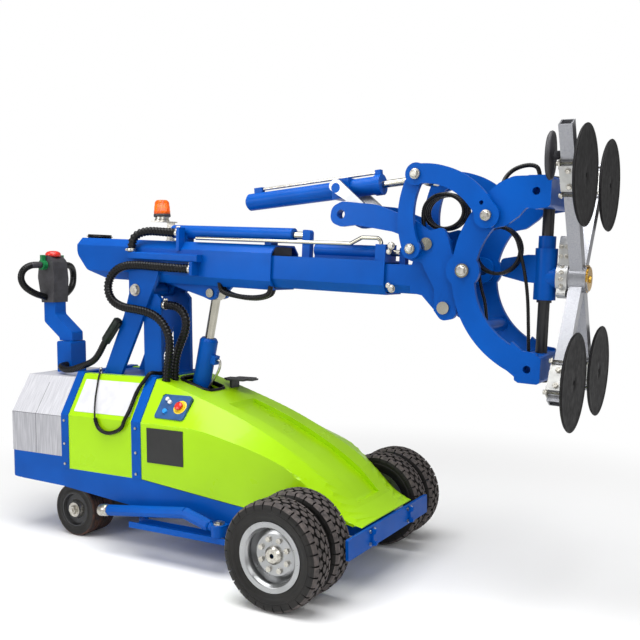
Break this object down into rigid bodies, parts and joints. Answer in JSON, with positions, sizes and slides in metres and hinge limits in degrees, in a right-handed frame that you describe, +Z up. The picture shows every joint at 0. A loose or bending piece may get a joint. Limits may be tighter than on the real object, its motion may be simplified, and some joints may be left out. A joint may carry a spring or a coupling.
{
  "type": "glass panel lifter",
  "caption": "Self-propelled pedestrian panel lifter: chassis on twin wheels, telescopic luffing boom, tilting and swinging head with a rolling suction frame.",
  "frame": {"origin": "middle of the footprint's box on the ground, on the machine's centre plane", "axes": "+X forward to the suction cups, +Y to the machine's left, +Z up"},
  "size_m": [2.8168, 1.149, 1.7258],
  "materials": {
    "tyre_rubber": "matt rubber",
    "wheel_silver": "silver paint",
    "zinc": "zinc plated",
    "blue_paint": "gloss blue powder coat",
    "chrome_rod": "hard chrome",
    "green_cover": "gloss lime moulding",
    "brushed_cover": "brushed sheet",
    "black_steel": "black paint",
    "black_plastic": "matt moulding",
    "black_rubber": "matt rubber",
    "red_plastic": "gloss",
    "green_plastic": "satin",
    "plate_black": "matt plates, white label, yellow ring",
    "beacon_silver": "satin",
    "amber": "clear amber lens",
    "aluminium_tube": "brushed"
  },
  "bodies": {
    "chassis": {"chassis_tub": "blue_paint", "main_frame": "blue_paint", "front_bumper": "blue_paint", "pins_and_bolts": "zinc", "rear_cover": "brushed_cover", "hoop_frame": "blue_paint", "middle_cover": "green_cover", "hood": "green_cover", "control_panel": "blue_paint", "panel_fittings": "plate_black", "mast": "blue_paint", "tiller_socket": "blue_paint", "power_pack": "black_plastic", "mast_hoses": "black_rubber", "cable_bundle": "black_rubber"},
    "front_wheels_left": {"front_tyres_left": "tyre_rubber", "front_rims_left": "wheel_silver", "front_hub_left": "zinc"},
    "front_wheels_right": {"front_tyres_right": "tyre_rubber", "front_rims_right": "wheel_silver", "front_hub_right": "zinc"},
    "bogie": {"rear_bogie": "black_steel"},
    "rear_wheels": {"rear_axle": "zinc", "rear_hubs": "black_steel", "rear_tyres": "tyre_rubber"},
    "outrigger_left": {"outrigger_left": "blue_paint"},
    "outrigger_right": {"outrigger_right": "blue_paint"},
    "estop": {"estop_button": "red_plastic"},
    "tiller": {"tiller_arm": "blue_paint", "tiller_head": "black_plastic"},
    "throttle": {"throttles": "green_plastic"},
    "belly_switch": {"belly_button": "red_plastic"},
    "boom": {"boom_stage_1": "blue_paint", "wear_pads": "black_plastic", "extension_barrel_1": "blue_paint", "beacon_base": "beacon_silver", "beacon_lens": "amber", "boom_sleeve": "black_rubber"},
    "stage_2": {"boom_stage_2": "blue_paint", "stage_2_rod_and_pipe": "chrome_rod", "extension_barrel_2": "blue_paint"},
    "stage_3": {"boom_stage_3": "blue_paint", "stage_3_rod_and_pins": "chrome_rod", "head_bracket": "blue_paint", "tilt_bracket": "zinc", "head_coil_back": "black_rubber"},
    "lift_rod": {"lift_rod": "chrome_rod"},
    "lift_barrel": {"lift_barrel": "blue_paint"},
    "bow": {"head_bow": "blue_paint", "swing_shaft": "black_steel", "head_coil_front": "black_rubber"},
    "rocker": {"tilt_rocker": "blue_paint"},
    "link": {"tilt_link": "blue_paint"},
    "tilt_barrel": {"tilt_barrel": "blue_paint"},
    "tilt_rod": {"tilt_rod": "chrome_rod"},
    "knuckle": {"swing_knuckle": "blue_paint", "roll_housing": "zinc"},
    "suction_head": {"suction_frame": "aluminium_tube", "cup_carriers": "zinc", "suction_cups": "black_rubber"}
  },
  "joints": [
    {"name": "front_left_roll", "type": "hinge", "parent": "chassis", "child": "front_wheels_left", "pos_m": [0.36756, 0.438, 0.206], "axis": [0, 1, 0], "continuous": true},
    {"name": "front_right_roll", "type": "hinge", "parent": "chassis", "child": "front_wheels_right", "pos_m": [0.36756, -0.438, 0.206], "axis": [0, 1, 0], "continuous": true},
    {"name": "rear_steer", "type": "hinge", "parent": "chassis", "child": "bogie", "pos_m": [-0.95044, 0, 0.25], "axis": [0, 0, 1], "range_deg": [-41, 41]},
    {"name": "rear_drive", "type": "hinge", "parent": "bogie", "child": "rear_wheels", "pos_m": [-0.95044, 0, 0.125], "axis": [0, 1, 0], "continuous": true},
    {"name": "outrigger_left_swing", "type": "hinge", "parent": "chassis", "child": "outrigger_left", "pos_m": [-0.02344, 0.345, 0.186], "axis": [0, 0, -1], "range_deg": [0, 75]},
    {"name": "outrigger_right_swing", "type": "hinge", "parent": "chassis", "child": "outrigger_right", "pos_m": [-0.02344, -0.345, 0.186], "axis": [0, 0, 1], "range_deg": [0, 75]},
    {"name": "estop_press", "type": "slide", "parent": "chassis", "child": "estop", "axis": [0, 0.7804, -0.6252], "range_m": [0, 0.004], "stiffness_N_per_m": 900},
    {"name": "tiller_turn", "type": "hinge", "parent": "chassis", "child": "tiller", "pos_m": [-1.21244, 0, 0.906], "axis": [0, 0, 1], "range_deg": [-40, 40]},
    {"name": "throttle_turn", "type": "hinge", "parent": "tiller", "child": "throttle", "pos_m": [-1.33744, 0, 1.29], "axis": [0, 1, 0], "range_deg": [-35, 35], "stiffness_Nm_per_rad": 1.2},
    {"name": "belly_press", "type": "slide", "parent": "tiller", "child": "belly_switch", "axis": [1, 0, 0], "range_m": [0, 0.006], "stiffness_N_per_m": 900},
    {"name": "boom_luff", "type": "hinge", "parent": "chassis", "child": "boom", "pos_m": [-0.64844, 0, 1.166], "axis": [0, -1, 0], "range_deg": [-5, 30], "deforming": ["mast_hoses"]},
    {"name": "lift_top_pivot", "type": "hinge", "parent": "boom", "child": "lift_rod", "pos_m": [-0.27744, 0, 1.151], "axis": [0, -1, 0], "range_deg": [-26, 5]},
    {"name": "lift_stroke", "type": "slide", "parent": "lift_rod", "child": "lift_barrel", "axis": [-0.2258, 0, -0.9742], "range_m": [-0.032, 0.182]},
    {"name": "stage_2_slide", "type": "slide", "parent": "boom", "child": "stage_2", "axis": [0.9983, 0, -0.0579], "range_m": [0, 0.55]},
    {"name": "stage_3_slide", "type": "slide", "parent": "stage_2", "child": "stage_3", "axis": [0.9983, 0, -0.0579], "range_m": [0, 0.25]},
    {"name": "head_tilt", "type": "hinge", "parent": "stage_3", "child": "bow", "pos_m": [0.94356, 0, 1.239], "axis": [0, -1, 0], "range_deg": [-20, 15], "deforming": ["head_coil_back"]},
    {"name": "rocker_pivot", "type": "hinge", "parent": "stage_3", "child": "rocker", "pos_m": [0.73656, 0, 1.323], "axis": [0, -1, 0], "range_deg": [-17, 13]},
    {"name": "link_pivot", "type": "hinge", "parent": "bow", "child": "link", "pos_m": [1.04056, 0, 1.435], "axis": [0, -1, 0], "range_deg": [-13, 17]},
    {"name": "tilt_trunnion", "type": "hinge", "parent": "stage_3", "child": "tilt_barrel", "pos_m": [0.38756, 0, 1.577], "axis": [0, -1, 0], "range_deg": [-3, 2.5]},
    {"name": "tilt_stroke", "type": "slide", "parent": "tilt_barrel", "child": "tilt_rod", "axis": [0.9982, 0, 0.0603], "range_m": [-0.058, 0.077]},
    {"name": "head_swing", "type": "hinge", "parent": "bow", "child": "knuckle", "pos_m": [1.21056, 0, 1.212], "axis": [0.0506, 0, 0.9987], "range_deg": [-20, 20], "deforming": ["head_coil_front"]},
    {"name": "head_roll", "type": "hinge", "parent": "knuckle", "child": "suction_head", "pos_m": [1.31043, 0, 1.20694], "axis": [0.9987, 0, -0.0506], "continuous": true}
  ],
  "couplings": [
    {"joint": "rear_steer", "follows": "tiller_turn", "ratio": 1},
    {"joint": "lift_top_pivot", "follows": "boom_luff", "ratio": -0.827},
    {"joint": "lift_stroke", "follows": "boom_luff", "m_per_rad": 0.344},
    {"joint": "rocker_pivot", "follows": "head_tilt", "ratio": 0.7921},
    {"joint": "link_pivot", "follows": "head_tilt", "ratio": -0.7831},
    {"joint": "tilt_trunnion", "follows": "head_tilt", "ratio": 0.1189},
    {"joint": "tilt_stroke", "follows": "head_tilt", "m_per_rad": -0.2154}
  ]
}
